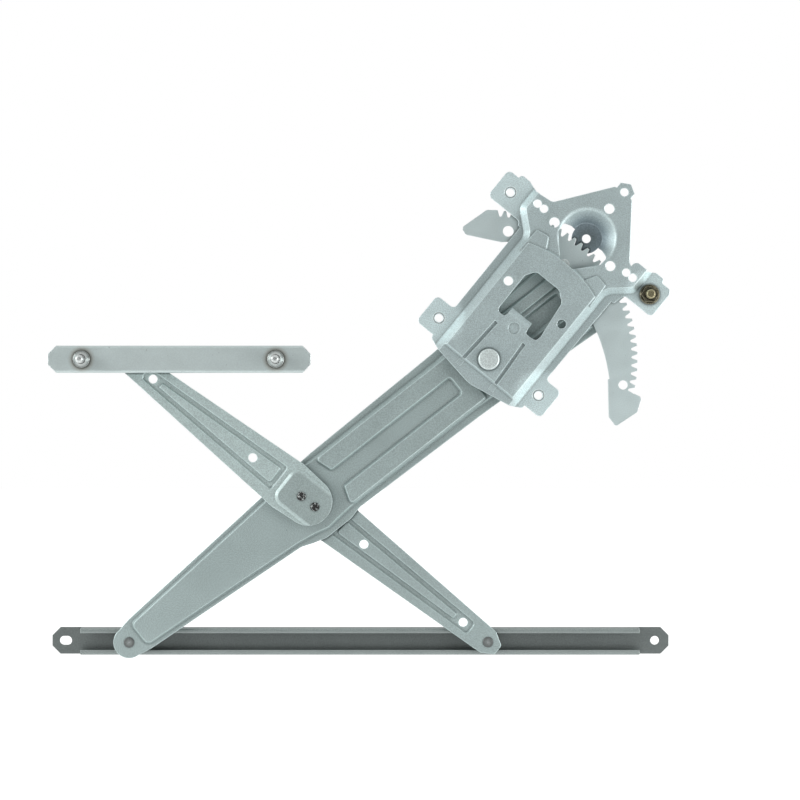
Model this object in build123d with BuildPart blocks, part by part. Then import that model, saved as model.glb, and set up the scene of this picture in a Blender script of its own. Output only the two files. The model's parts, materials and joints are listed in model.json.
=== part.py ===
from build123d import *
import math
import os

# Scissor window regulator for a car door, made for a motor that is not fitted.
# The origin is the middle of the left ear's hole, on the ears' front faces that seat on the door's
# inner panel. X runs along the door, Y leads away from the viewer to the glass, and Z is up.
# Sizes are millimetres and degrees.

# Linkage, half lowered
arm_reach = 195.0
arm_slope = 38.23
plate_tilt = 50.9

# Sheets, one behind the other
plate_gauge = 1.8
sector_gauge = 2.6
arm_gauge = 2.2
rail_gauge = 1.4
plate_gap = 0.8
press_gap = 0.4
arm_gap = 0.6
motor_rise = 6.0
panel_rise = 8.0
flange_drop = 2.6
rib_rise = 2.4
recess = 1.4

# Base plate, across and along the line from the pivot to the spindle
plate_half = 50.0
stock_margin = 60.0
plate_toe = 26.5
plate_heel = 16.0
plate_cheek = 38.0
shoulder_setback = 22.75
panel_half = 43.0
panel_low = 12.0
panel_arc_setback = 28.75
wall_lean = 41.0
ear_reach = 13.4
ear_half = 14.2
ear_round = 4.5
ear_root_round = 4.0
ear_brow = 3.6
ear_bore = 6.8
ear_collar = 9.8
ear_hub = 2.6
coin_width = 0.9
coin_depth = 0.4
left_ear = (-54.9, 0.8)
right_ear = (52.3, 3.1)
upper_left_ear_out = 14.5
upper_left_ear_setback = 10.75
stud_ear_out = 10.9
stud_ear_setback = 3.55
motor_half = 60.5
motor_brow_past = 2.75
motor_waist = 42.0
motor_peak_past = 48.75
peak_half = 9.0
tab_across = 15.0
tab_past = 49.75
tab_bore = 7.0
hub_reach = 132.75
hub_rim = 24.6
hub_floor = 13.4
hub_sink = 11.6
cup_flare = 2.9
cup_bend = 5.0
spindle_bore = 7.5
motor_bolt_circle = 30.8
motor_bolt_bore = 8.5
motor_bolt_angles = (92.0, 194.0, 348.0)
twin_bore = 7.0
twin_across = 47.6
twin_setback = 4.15
twin_pitch = 6.9
panel_bore = 7.7
panel_bore_across = 29.0
panel_bore_along = 62.0
window_half = 21.0
window_top_half = 15.5
window_low = 36.6
window_top = 83.0
flap_left = -12.0
flap_right = 9.5
flap_fold = 40.6
flap_reach = 6.2
flap_fall = 4.6
flap_gauge = 1.2
groove_across = 16.4
groove_width = 5.4
groove_top = 30.0
groove_sink = 1.2
dimple_along = 33.9
dimple_bore = 12.0
bridge_setback = 20.25
bridge_rise = 1.0
mesh_foot = 7.0
mesh_half = 22.7
mesh_shoulder_setback = 11.25
mesh_brow_past = 0.25

# Pivot at the base plate
rivet_shank = 12.0
rivet_head = 18.0
rivet_head_height = 4.0
rivet_tail = 17.0
rivet_tail_height = 2.4
spacer_width = 20.0
running = 0.05
side_play = 0.1

# Toothed sector
pinion_half = 7.875
full_circle_teeth = 111
sector_gaps = 31
gap_round = 1.0
first_gap = -12.1
pressure_angle = 20.0
relief_past = 17.25
relief_x = -45.8
relief_z = -35.0
rivet_setback = 28.75
rivet_spread = 13.2
rivet_bore = 8.0
tail_hole_setback = 22.25
tail_hole_angle = 81.2
tail_hole = 9.0
foot_hole_setback = 15.95
foot_hole_angle = -10.7
foot_hole = 7.7
stop_past = 1.75
tail_setback = 5.25

# Lift arm
root_half = 41.0
root_setback = 20.75
shank_half = 33.5
waist_half = 31.2
waist_setback = 27.0
hip_past = 29.0
hip_half = 27.5
tip_half = 15.8
tip_setback = 12.0
tip_round = 13.5
arm_flange = 3.6
arm_lean = 35.0
crown_setback = 10.0
crown_half = 27.0
bulge_lead = 31.0
bulge_lag = 7.0
bulge_half = 34.2
rib_inner = 7.6
rib_outer = 25.4
rib_start = 36.0
rib_setback = 23.0
root_rib_start = 26.0
root_rib_setback = 46.75
root_rib_inner = 12.0
root_rib_outer = 24.0
root_groove_sink = 2.0
root_groove_lean = 50.0
root_blend = 40.0
waist_blend = 60.0
hip_blend = 30.0
rib_root = 20.0
scissor_barrel = 28.0

# Equalizer
heel_round = 20.5
upper_heel_half = 22.5
upper_tip_half = 10.5
lower_heel_half = 20.5
lower_tip_half = 11.2
tip_overrun = 11.0
eq_lean = 40.0
ring_start = 30.0
ring_setback = 17.0
ring_border = 7.2
ring_width = 5.0
island_setback = 35.0
eq_hole = 7.5
eq_hole_near = 60.0
eq_hole_setback = 27.0
pad_end = 27.0
pad_foot_half = 17.5
pad_rise = 1.6
pad_lean = 60.0
pad_boss = 24.0
clinch = 5.0
clinch_head = 7.4
clinch_proud = 0.5
clinch_pit = 2.0
clinch_pit_circle = 1.9
clinch_spacing = 14.5
bush_flange = 38.0

# Rails and what runs in them
channel_height = 23.0
channel_depth = 12.0
channel_lip = 4.2
channel_bend = 2.2
guide_length = 222.0
guide_left = 66.3
guide_stud_left = 37.8
guide_stud_pitch = 164.0
stud_thread = 7.0
stud_length = 12.0
stud_flange = 14.4
stud_flange_height = 1.6
stud_shoulder = 3.0
stud_cone = 36.0
glass_length = 530.4
glass_right = 156.0
channel_left_tab = 25.4
channel_right_tab = 26.0
corner_cut = 7.0
slot_inset = 11.6
slot_length = 10.4
slot_bore = 7.6
hole_inset = 12.0
hole_bore = 7.5
roller_play = 0.3
roller_width = 6.6
roller_gap = 0.4
pin_thread = 8.0
pin_head = 11.0
pin_head_height = 1.2
pin_collar = 13.0
pin_collar_height = 1.4
pin_tail = 8.6
pin_tail_height = 0.4

# Mounting stud in the right upper ear
mount_thread = 8.0
mount_shank = 8.4
mount_stick_out = 13.0
mount_flange = 17.0
mount_flange_height = 2.0
mount_hex = 13.0
mount_hex_height = 4.5
mount_head_height = 1.6

# Places on the plate and the sector, set out from the spindle's hub
shoulder = hub_reach - shoulder_setback
panel_arc = hub_reach - panel_arc_setback
upper_left_ear = (-motor_half - upper_left_ear_out, hub_reach - upper_left_ear_setback)
stud_ear = (motor_half + stud_ear_out, hub_reach - stud_ear_setback)
motor_brow = hub_reach + motor_brow_past
motor_peak = hub_reach + motor_peak_past
tab_place = hub_reach + tab_past
twin_along = hub_reach - twin_setback
bridge_top = hub_reach - bridge_setback
mesh_shoulder = hub_reach - mesh_shoulder_setback
mesh_brow = hub_reach + mesh_brow_past
pitch_radius = hub_reach - pinion_half
tooth_module = 2 * pitch_radius / full_circle_teeth
relief_radius = hub_reach + relief_past
rivet_circle = hub_reach - rivet_setback
tail_hole_circle = hub_reach - tail_hole_setback
foot_hole_circle = hub_reach - foot_hole_setback
stop_reach = hub_reach + stop_past
tail_reach = hub_reach - tail_setback
root_reach = hub_reach - root_setback
root_rib_end = hub_reach - root_rib_setback

# Places along the lift arm and the equalizer, set out from their reach
waist_along = arm_reach - waist_setback
hip_along = arm_reach + hip_past
tip_along = 2 * arm_reach - tip_setback
crown_end = 2 * arm_reach - crown_setback
bulge_start = arm_reach - bulge_lead
bulge_end = arm_reach + bulge_lag
rib_end = arm_reach - rib_setback
ring_end = arm_reach - ring_setback
island_end = arm_reach - island_setback
eq_hole_far = arm_reach - eq_hole_setback

# Places that follow from the sizes
tilt = math.radians(plate_tilt)
pivot_x = -left_ear[0] * math.sin(tilt) - left_ear[1] * math.cos(tilt)
pivot_z = left_ear[0] * math.cos(tilt) - left_ear[1] * math.sin(tilt)
slope = math.radians(arm_slope)
half_span = arm_reach * math.cos(slope)
half_rise = arm_reach * math.sin(slope)
scissor_x = pivot_x - half_span
scissor_z = pivot_z - half_rise
left_x = pivot_x - 2 * half_span
low_z = pivot_z - 2 * half_rise

# Depths of the sheets' front faces
sector_face = plate_gauge + plate_gap
crown_face = sector_face + sector_gauge
flange_face = crown_face + flange_drop
upper_face = crown_face - rib_rise - press_gap - arm_gauge - recess
lower_face = flange_face + arm_gauge + arm_gap
glass_face = lower_face + recess + arm_gauge + arm_gap
guide_face = upper_face - press_gap
panel_back = plate_gauge - panel_rise


def sheet_plane(x, z, heading, depth):
    # Plane facing the viewer, its own x at an angle above the horizontal
    turn = math.radians(heading)
    return Plane(origin=(x, depth, z), x_dir=(math.cos(turn), 0, math.sin(turn)), z_dir=(0, -1, 0))


def round_plane(x, z, depth):
    # Plane facing away from the viewer, for round pieces that lead backward
    return Plane(origin=(x, depth, z), x_dir=(1, 0, 0), z_dir=(0, 1, 0))


def polar(radius, angle):
    return (radius * math.cos(math.radians(angle)), radius * math.sin(math.radians(angle)))


def outline(plane, corners):
    # Closed outline with a rounding at each corner, given as x, y and radius
    with BuildSketch(plane) as shape:
        with BuildLine():
            FilletPolyline(*[(x, y) for x, y, r in corners], radius=[r for x, y, r in corners], close=True)
        make_face()
    return shape.sketch


def emboss(forms, gauge, lean):
    # Press areas of a sheet forward, or backward where the rise is negative, with leaning walls.
    # Each outline lies on the sheet's front face.
    angle = math.radians(lean)
    wall = gauge * (1 - math.sin(angle)) / math.cos(angle)
    behind = Location((0, gauge, 0))
    for shape, rise in forms:
        skin = shape if rise > 0 else shape.moved(behind)
        extrude(skin, amount=rise, taper=lean)
    for shape, rise in forms:
        hollow = offset(shape.moved(behind) if rise > 0 else shape, amount=-wall, mode=Mode.PRIVATE)
        extrude(hollow, amount=rise, taper=lean, mode=Mode.SUBTRACT)


# Base plate: flat ears, a raised centre panel and motor seat, and the cup for the spindle
plate = sheet_plane(pivot_x, pivot_z, plate_tilt - 90, 0)
beyond = motor_peak + tab_across
wall_foot = panel_rise * math.tan(math.radians(wall_lean))

with BuildSketch(plate) as plate_blank:
    with BuildLine():
        FilletPolyline(
            (-plate_half, shoulder),
            (-plate_half, -plate_heel),
            (-plate_cheek, -plate_heel - 4.5),
            (0, -plate_toe),
            (plate_cheek, -plate_heel - 3.5),
            (plate_half - 1.5, -plate_heel + 2),
            (plate_half, shoulder),
            radius=[0.5, 3, 6, 18, 6, 3, 0.5],
            close=True,
        )
    make_face()
    with BuildLine():
        FilletPolyline(
            (-motor_half + 8, shoulder - 6),
            (-motor_half, motor_brow),
            (-motor_waist, motor_brow + 2),
            (-peak_half, motor_peak),
            (peak_half, motor_peak),
            (motor_waist, motor_brow + 2),
            (motor_half, motor_brow + 3),
            (motor_half - 8, shoulder - 6),
            radius=[1, 1, 6, 3, 3, 6, 1, 1],
            close=True,
        )
    make_face()
    with Locations((0, tab_place)):
        RegularPolygon(tab_across / 2, 6, major_radius=False, rotation=30)
    for ear in (left_ear, right_ear, upper_left_ear, stud_ear):
        side = math.copysign(1, ear[0])
        root = side * (plate_half - 6)
        end = ear[0] + side * ear_reach
        with Locations(((root + end) / 2, ear[1])):
            RectangleRounded(abs(end - root), 2 * ear_half, ear_round)
    for ear in (upper_left_ear, stud_ear):
        side = math.copysign(1, ear[0])
        brow = ear[1] + ear_half
        with BuildLine():
            FilletPolyline(
                (side * (plate_half - 4), brow - 8),
                (side * (motor_half - 1), brow + ear_brow - 3),
                (ear[0] - side * 7, brow + ear_brow),
                (ear[0] + side * 1.5, brow + ear_brow),
                (ear[0] + side * 3.5, brow - 3),
                radius=[1, 3, 2, 2.5, 1],
                close=True,
            )
        make_face()
    inner_corners = [
        (-plate_half, left_ear[1] + ear_half),
        (plate_half, right_ear[1] + ear_half),
        (-plate_half, upper_left_ear[1] - ear_half),
        (plate_half, stud_ear[1] - ear_half),
    ]
    soft_corners = [
        plate_blank.vertices().sort_by_distance((corner[0], corner[1], 0))[0]
        for corner in inner_corners
    ]
    fillet(soft_corners, ear_root_round)
    with Locations(left_ear, right_ear, upper_left_ear):
        Circle(ear_bore / 2, mode=Mode.SUBTRACT)
    with Locations(stud_ear):
        Circle(mount_shank / 2, mode=Mode.SUBTRACT)
    with Locations((0, hub_reach)):
        Circle(spindle_bore / 2, mode=Mode.SUBTRACT)
        for bolt_angle in motor_bolt_angles:
            with Locations(polar(motor_bolt_circle, bolt_angle)):
                Circle(motor_bolt_bore / 2, mode=Mode.SUBTRACT)
    with Locations((0, tab_place)):
        Circle(tab_bore / 2, mode=Mode.SUBTRACT)
    with Locations((-twin_across, twin_along), (twin_across, twin_along + 2)):
        with Locations((-twin_pitch / 2, 0), (twin_pitch / 2, 0)):
            Circle(twin_bore / 2, mode=Mode.SUBTRACT)
    with Locations((-panel_bore_across, panel_bore_along), (panel_bore_across, panel_bore_along)):
        Circle(panel_bore / 2, mode=Mode.SUBTRACT)
    Circle(rivet_shank / 2, mode=Mode.SUBTRACT)

raised_area = outline(plate, [
    (-panel_half, -plate_toe - 30, 0),
    (-panel_half, shoulder - 9, 10),
    (-motor_half - 1, shoulder + 7, 10),
    (-motor_half - 1, beyond, 0),
    (motor_half + 1, beyond, 0),
    (motor_half + 1, shoulder + 12, 10),
    (panel_half, shoulder - 4, 10),
    (panel_half, -plate_toe - 30, 0),
])
with BuildSketch(plate) as panel_area:
    Circle(panel_arc + wall_foot)
    with Locations((0, (panel_arc - panel_low) / 2)):
        Rectangle(2 * panel_half, panel_arc + panel_low + 2 * wall_foot, mode=Mode.INTERSECT)

grooves = [
    outline(plate.offset(panel_rise), [
        (side * (groove_across + 1.5) - groove_width / 2, -panel_low - 8, 0.5),
        (side * (groove_across - 1.5) - groove_width / 2, groove_top, 1.8),
        (side * (groove_across - 1.5) + groove_width / 2, groove_top, 1.8),
        (side * (groove_across + 1.5) + groove_width / 2, -panel_low - 8, 0.5),
    ])
    for side in (-1, 1)
]
window = outline(plate, [
    (-window_half, window_low, 4),
    (-window_half, window_low + 38, 3),
    (-window_top_half, window_top, 5),
    (window_top_half - 6, window_top, 6),
    (window_half - 3, window_top - 7, 5),
    (window_half + 1, window_low + 6, 3),
    (window_half, window_low, 4),
    (flap_right + 1, window_low, 2),
    (flap_right, flap_fold, 0.5),
    (flap_left, flap_fold, 0.5),
    (flap_left - 1, window_low, 2),
])
cup_angle = math.atan2(hub_rim - hub_floor, hub_sink)
cup_wall = plate_gauge * (1 - math.sin(cup_angle)) / math.cos(cup_angle)
hub_place = plate.from_local_coords((0, hub_reach, 0))
cup_plane = Plane(origin=hub_place, x_dir=plate.x_dir, z_dir=plate.y_dir)


def cup_section(seat, rim, floor, rim_bend, floor_bend):
    # Half section of the cup's hollow below a seat at that depth, its axis at x = 0
    with BuildSketch(cup_plane) as section:
        with BuildLine():
            FilletPolyline(
                (0, seat - 0.4),
                (rim + cup_flare, seat - 0.4),
                (rim + cup_flare, seat),
                (rim, seat),
                (floor, seat + hub_sink),
                (0, seat + hub_sink),
                radius=[0, 0, 0, rim_bend, floor_bend, 0],
                close=True,
            )
        make_face()
    return section.sketch


bridges = [
    outline(plate.offset(motor_rise), [
        (side * (panel_half - 4), panel_arc - 16, 1),
        (side * (panel_half - 5), bridge_top - 1, 2),
        (side * (panel_half - 17), bridge_top + 1, 3),
        (side * (panel_half - 22), bridge_top - 8, 2),
        (side * (panel_half - 26), panel_arc - 10, 1),
    ])
    for side in (-1, 1)
]
with BuildSketch(plate) as mesh_cut:
    with BuildLine():
        FilletPolyline(
            (-mesh_foot, panel_arc),
            (-mesh_half, mesh_shoulder),
            (-mesh_half - 1, mesh_brow - 3),
            (-mesh_half + 6, mesh_brow),
            (mesh_half - 6, mesh_brow),
            (mesh_half + 1, mesh_brow - 3),
            (mesh_half, mesh_shoulder),
            (mesh_foot, panel_arc),
            radius=[1, 3, 3, 3, 3, 3, 3, 1],
            close=True,
        )
    make_face()
    with Locations((0, hub_reach)):
        Circle(hub_floor - cup_wall, mode=Mode.SUBTRACT)
flap_plane = Plane(
    origin=plate.from_local_coords((flap_left, 0, 0)),
    x_dir=plate.y_dir,
    z_dir=plate.x_dir,
)
with BuildSketch(flap_plane) as flap:
    with BuildLine():
        FilletPolyline(
            (flap_fold - 1, panel_rise),
            (flap_fold + 0.6, panel_rise),
            (flap_fold + flap_reach, panel_rise - flap_fall),
            (flap_fold + flap_reach - flap_gauge, panel_rise - flap_fall - flap_gauge),
            (flap_fold - 0.6, panel_rise - plate_gauge),
            (flap_fold - 1, panel_rise - plate_gauge),
            radius=[0, 1.5, 0.3, 0.3, 0.3, 0],
            close=True,
        )
    make_face()
with BuildSketch(plate) as collars:
    with Locations(left_ear, right_ear, upper_left_ear):
        Circle(ear_collar / 2)
        Circle(ear_bore / 2, mode=Mode.SUBTRACT)
with BuildSketch(plate) as coins:
    with Locations(left_ear, right_ear, upper_left_ear):
        Circle(ear_collar / 2)
        Circle(ear_collar / 2 - coin_width, mode=Mode.SUBTRACT)
with BuildSketch(plate.offset(panel_rise)) as dimple:
    with Locations((0, dimple_along)):
        Circle(dimple_bore / 2)

with BuildPart() as base_plate:
    with BuildSketch(plate) as plate_stock:
        with Locations((0, (beyond - plate_toe) / 2)):
            Rectangle(4 * ear_half + 2 * abs(upper_left_ear[0]), beyond + plate_toe + stock_margin)
    extrude(amount=-plate_gauge)
    emboss([(raised_area, motor_rise), (panel_area.sketch, panel_rise)], plate_gauge, wall_lean)
    extrude(bridges[0], amount=bridge_rise, taper=arm_lean)
    extrude(bridges[1], amount=bridge_rise, taper=arm_lean)
    emboss([(grooves[0], -groove_sink), (grooves[1], -groove_sink)], plate_gauge, arm_lean)
    emboss([(dimple.sketch, -groove_sink / 2)], plate_gauge, arm_lean)
    cup_axis = Axis(hub_place, (0, 1, 0))
    revolve(
        cup_section(
            plate_gauge - motor_rise, hub_rim + cup_wall, hub_floor + cup_wall, cup_bend, 2 * plate_gauge
        ),
        cup_axis,
    )
    revolve(cup_section(-motor_rise, hub_rim, hub_floor, cup_bend, plate_gauge), cup_axis, mode=Mode.SUBTRACT)
    extrude(plate_blank.sketch, amount=3 * hub_sink, both=True, mode=Mode.INTERSECT)
    extrude(window, amount=3 * panel_rise, both=True, mode=Mode.SUBTRACT)
    extrude(mesh_cut.sketch, amount=3 * hub_sink, both=True, mode=Mode.SUBTRACT)
    extrude(flap.sketch, amount=flap_right - flap_left)
    extrude(collars.sketch, amount=-plate_gauge - ear_hub)
    extrude(coins.sketch, amount=-coin_depth, mode=Mode.SUBTRACT)
base_plate.part.label = "base_plate"


# Pivot: a flat headed rivet through the panel, with a spacer in front of the arm
pivot_front = round_plane(pivot_x, pivot_z, -panel_rise)
with BuildPart() as pivot_rivet:
    with BuildSketch(pivot_front):
        Circle(rivet_head / 2)
    extrude(amount=-rivet_head_height)
    fillet(pivot_rivet.edges().sort_by(Axis.Y)[0], 1.6)
    with BuildSketch(pivot_front):
        Circle(rivet_shank / 2)
    tail_face = crown_face + arm_gauge + side_play
    extrude(amount=panel_rise + tail_face)
    with BuildSketch(round_plane(pivot_x, pivot_z, tail_face)):
        Circle(rivet_tail / 2)
    extrude(amount=rivet_tail_height)
    chamfer(pivot_rivet.edges().sort_by(Axis.Y)[-1], 1)
pivot_rivet.part.label = "pivot_rivet"

with BuildPart() as pivot_spacer:
    with BuildSketch(round_plane(pivot_x, pivot_z, panel_back)):
        Circle(spacer_width / 2)
        Circle(rivet_shank / 2, mode=Mode.SUBTRACT)
    extrude(amount=crown_face - side_play - panel_back)
pivot_spacer.part.label = "pivot_spacer"


# Toothed sector, riveted on the front of the lift arm
tip_radius = pitch_radius + tooth_module
root_radius = pitch_radius - 1.25 * tooth_module
tooth_pitch = 360 / full_circle_teeth
last_gap = first_gap + tooth_pitch * (sector_gaps - 1)
flank = math.tan(math.radians(pressure_angle))
quarter = math.pi * tooth_module / 4
rivet_angles = (arm_slope - rivet_spread, arm_slope, arm_slope + rivet_spread)

with BuildSketch() as tooth_gap:
    with BuildLine():
        FilletPolyline(
            (-1.25 * tooth_module, quarter - 1.25 * tooth_module * flank),
            (1.3 * tooth_module, quarter + 1.3 * tooth_module * flank),
            (1.3 * tooth_module, -quarter - 1.3 * tooth_module * flank),
            (-1.25 * tooth_module, -quarter + 1.25 * tooth_module * flank),
            radius=[gap_round, 0, 0, gap_round],
            close=True,
        )
    make_face()

sector_plane = sheet_plane(pivot_x, pivot_z, 0, sector_face)
with BuildSketch(sector_plane) as sector_shape:
    Circle(tip_radius)
    with Locations((relief_x, relief_z)):
        Circle(relief_radius, mode=Mode.SUBTRACT)
    with BuildLine():
        Polyline(
            (0, 0),
            polar(2 * tip_radius, first_gap),
            polar(2 * tip_radius, 40),
            polar(2 * tip_radius, last_gap),
            close=True,
        )
    make_face(mode=Mode.INTERSECT)
    with BuildLine():
        FilletPolyline(
            polar(tail_reach, last_gap + 1),
            polar(tail_reach, last_gap + 5.4),
            polar(tail_reach - 13, last_gap + 16.4),
            polar(tail_reach - 19.5, last_gap + 15),
            polar(tail_reach - 27, last_gap - 1.5),
            polar(tail_reach - 22, last_gap - 12),
            polar(root_radius - 1, last_gap - 2),
            radius=[1.5, 5, 3, 3, 1, 1, 1],
            close=True,
        )
    make_face()
    with BuildLine():
        FilletPolyline(
            polar(root_radius, first_gap + 3),
            polar(root_radius + 0.5, first_gap - 0.4),
            polar(stop_reach, first_gap - 1.8),
            polar(stop_reach, first_gap - 7.4),
            polar(root_radius + 0.5, first_gap - 15.6),
            polar(root_radius - 8.5, first_gap - 13.4),
            polar(root_radius - 19, first_gap + 3),
            radius=[1, 1, 3, 3, 2, 2, 1],
            close=True,
        )
    make_face()
    with Locations(polar(tail_hole_circle, tail_hole_angle)):
        Circle(tail_hole / 2, mode=Mode.SUBTRACT)
    with Locations(polar(foot_hole_circle, foot_hole_angle)):
        Circle(foot_hole / 2, mode=Mode.SUBTRACT)
    for rivet_angle in rivet_angles:
        with Locations(polar(rivet_circle, rivet_angle)):
            Circle(rivet_bore / 2, mode=Mode.SUBTRACT)
    with PolarLocations(
        pitch_radius, sector_gaps, start_angle=first_gap, angular_range=last_gap - first_gap, endpoint=True
    ):
        add(tooth_gap.sketch, mode=Mode.SUBTRACT)

with BuildPart() as gear_sector:
    extrude(sector_shape.sketch, amount=-sector_gauge)
gear_sector.part.label = "gear_sector"

with BuildPart() as sector_rivets:
    for rivet_angle in rivet_angles:
        place = polar(rivet_circle, rivet_angle)
        with BuildSketch(round_plane(pivot_x + place[0], pivot_z + place[1], sector_face)):
            Circle(rivet_bore / 2)
        extrude(amount=sector_gauge + arm_gauge)
        with BuildSketch(round_plane(pivot_x + place[0], pivot_z + place[1], crown_face + arm_gauge)):
            Circle(0.75 * rivet_bore)
        extrude(amount=rivet_tail_height / 2)
sector_rivets.part.label = "sector_rivets"


# Lift arm: a pressed sheet with flanged edges and two ribs, wide at the pivot and narrow at the glass
lift = sheet_plane(pivot_x, pivot_z, arm_slope, flange_face)
with BuildSketch(lift) as lift_blank:
    with BuildLine():
        FilletPolyline(
            (root_reach + 10, root_half),
            (root_half, shank_half + 3),
            (-rib_start, shank_half),
            (-waist_along, waist_half),
            (-hip_along, hip_half),
            (-tip_along, tip_half),
            (-2 * arm_reach, tip_round),
            (-2 * arm_reach, -tip_round),
            (-tip_along, -tip_half),
            (-hip_along, -hip_half + 0.5),
            (-bulge_end - 12, -bulge_half + 3.4),
            (-bulge_end, -bulge_half),
            (-bulge_start - 12, -bulge_half),
            (-bulge_start, -waist_half),
            (-rib_start, -shank_half),
            (root_half, -shank_half - 3),
            (root_reach + 10, -root_half),
            radius=[
                2, root_blend, root_blend, waist_blend, hip_blend, 4, 1, 1, 4, 12, 8, 10, 10, 8,
                root_blend, root_blend, 2,
            ],
            close=True,
        )
    make_face()
    with Locations((-arm_reach, 0)):
        Circle(arm_reach + root_reach, mode=Mode.INTERSECT)
    with Locations((-2 * arm_reach, 0)):
        Circle(tip_round)
    with Locations((-arm_reach, 0)):
        Circle(scissor_barrel / 2 + running, mode=Mode.SUBTRACT)
    Circle(rivet_shank / 2 + running, mode=Mode.SUBTRACT)
    with Locations((-2 * arm_reach, 0)):
        Circle(pin_thread / 2, mode=Mode.SUBTRACT)
    for rivet_turn in (-rivet_spread, 0, rivet_spread):
        with Locations(polar(rivet_circle, rivet_turn)):
            Circle(rivet_bore / 2, mode=Mode.SUBTRACT)

crown_area = outline(lift, [
    (root_reach + stock_margin, root_half - arm_flange, 0),
    (root_half, shank_half + 3 - arm_flange, 40),
    (-rib_start, crown_half, 20),
    (-waist_along, crown_half, 12),
    (-waist_along - 14, waist_half - arm_flange, 8),
    (-hip_along, hip_half - arm_flange, 30),
    (-crown_end, tip_half - arm_flange, 6),
    (-crown_end, -tip_half + arm_flange, 6),
    (-hip_along, -hip_half + arm_flange, 20),
    (-bulge_end - 6, -crown_half + 0.5, 6),
    (-bulge_end + 7, -bulge_half + arm_flange + 1, 8),
    (-bulge_start - 18, -crown_half - 1, 6),
    (-bulge_start - 4, -crown_half, 8),
    (-rib_start, -crown_half, 20),
    (root_half, -shank_half - 3 + arm_flange, 40),
    (root_reach + 60, -root_half + arm_flange, 0),
])
rib_bow = outline(lift.offset(flange_drop), [
    (-rib_root, rib_outer, 4),
    (-rib_end + 2, rib_outer, 4),
    (-rib_end + 8, rib_inner, 4),
    (-rib_start, rib_inner, 2),
    (-rib_start, -rib_inner, 2),
    (-rib_end + 8, -rib_inner, 4),
    (-rib_end + 2, -rib_outer, 4),
    (-rib_root, -rib_outer, 4),
])
root_ribs = [
    outline(lift.offset(flange_drop), [
        (root_rib_start, side * root_rib_inner, 3),
        (root_rib_start, side * root_rib_outer, 4),
        (root_rib_end - 2, side * root_rib_outer, 4),
        (root_rib_end, side * root_rib_inner, 3),
    ])
    for side in (-1, 1)
]
root_groove = outline(lift.offset(flange_drop), [
    (root_rib_start + 2, root_rib_inner - 2, 6),
    (root_rib_start + 2, -root_rib_inner + 2, 6),
    (root_rib_end - 2, -root_rib_inner + 2, 6),
    (root_rib_end - 2, root_rib_inner - 2, 6),
])
with BuildPart() as lift_arm:
    with BuildSketch(lift) as lift_stock:
        with Locations((-arm_reach, 0)):
            Rectangle(3 * arm_reach, 2 * root_half + 20)
    extrude(amount=-arm_gauge)
    emboss([(crown_area, flange_drop)], arm_gauge, arm_lean)
    emboss([(rib_bow, rib_rise), (root_ribs[0], rib_rise), (root_ribs[1], rib_rise)], arm_gauge, arm_lean)
    emboss([(root_groove, -root_groove_sink)], arm_gauge, root_groove_lean)
    extrude(lift_blank.sketch, amount=arm_reach / 4, both=True, mode=Mode.INTERSECT)
lift_arm.part.label = "lift_arm"


# Equalizer: two half arms either side of the lift arm, clinched through one scissor bush
def half_arm(face, heading, heel_half, end_half, pad):
    # One half arm, its own x leading from the scissor joint to the arm's end
    base = sheet_plane(scissor_x, scissor_z, heading, face)
    with BuildSketch(base) as blank:
        with BuildLine():
            FilletPolyline(
                (0, heel_half - 2),
                (heel_half, heel_half),
                (arm_reach - tip_overrun, end_half + 0.6),
                (arm_reach, end_half),
                (arm_reach + tip_overrun, end_half / 2.4),
                (arm_reach + tip_overrun, -end_half / 2.4),
                (arm_reach, -end_half),
                (arm_reach - tip_overrun, -end_half - 0.6),
                (heel_half, -heel_half),
                (0, -heel_half + 2),
                radius=[1, 10, 4, 4, 2.5, 2.5, 4, 4, 10, 1],
                close=True,
            )
        make_face()
        Circle(heel_round)
        with Locations((arm_reach, 0)):
            Circle(pin_thread / 2, mode=Mode.SUBTRACT)
        with Locations((-clinch_spacing / 2, 0), (clinch_spacing / 2, 0)):
            Circle(clinch / 2, mode=Mode.SUBTRACT)
        with Locations((eq_hole_near, 0), (eq_hole_far, 0)):
            Circle(eq_hole / 2, mode=Mode.SUBTRACT)
    fall = (heel_half - end_half) / arm_reach
    ring = outline(base, [
        (ring_start, heel_half - ring_start * fall - ring_border, 4),
        (ring_end, end_half + (arm_reach - ring_end) * fall - ring_border + 2.4, 5),
        (ring_end, -end_half - (arm_reach - ring_end) * fall + ring_border - 2.4, 5),
        (ring_start, -heel_half + ring_start * fall + ring_border, 4),
    ])
    island = outline(base.offset(-recess), [
        (ring_start + ring_width, heel_half - ring_start * fall - ring_border - ring_width, 3),
        (island_end, end_half + (arm_reach - island_end) * fall - ring_border - ring_width + 2.4, 2),
        (island_end, -end_half - (arm_reach - island_end) * fall + ring_border + ring_width - 2.4, 2),
        (ring_start + ring_width, -heel_half + ring_start * fall + ring_border + ring_width, 3),
    ])
    seat = outline(base, [
        (pad_end, pad_foot_half, 9),
        (-2 * heel_round, pad_foot_half, 0),
        (-2 * heel_round, -pad_foot_half, 0),
        (pad_end, -pad_foot_half, 9),
    ])
    with BuildPart() as arm:
        with BuildSketch(base):
            with Locations((arm_reach / 2, 0)):
                Rectangle(2 * arm_reach, 3 * heel_half)
        extrude(amount=-arm_gauge)
        emboss([(ring, -recess)], arm_gauge, eq_lean)
        emboss([(island, recess)], arm_gauge, eq_lean)
        if pad > 0:
            emboss([(seat, pad)], arm_gauge, pad_lean)
        extrude(blank.sketch, amount=arm_reach / 4, both=True, mode=Mode.INTERSECT)
    return arm


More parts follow.
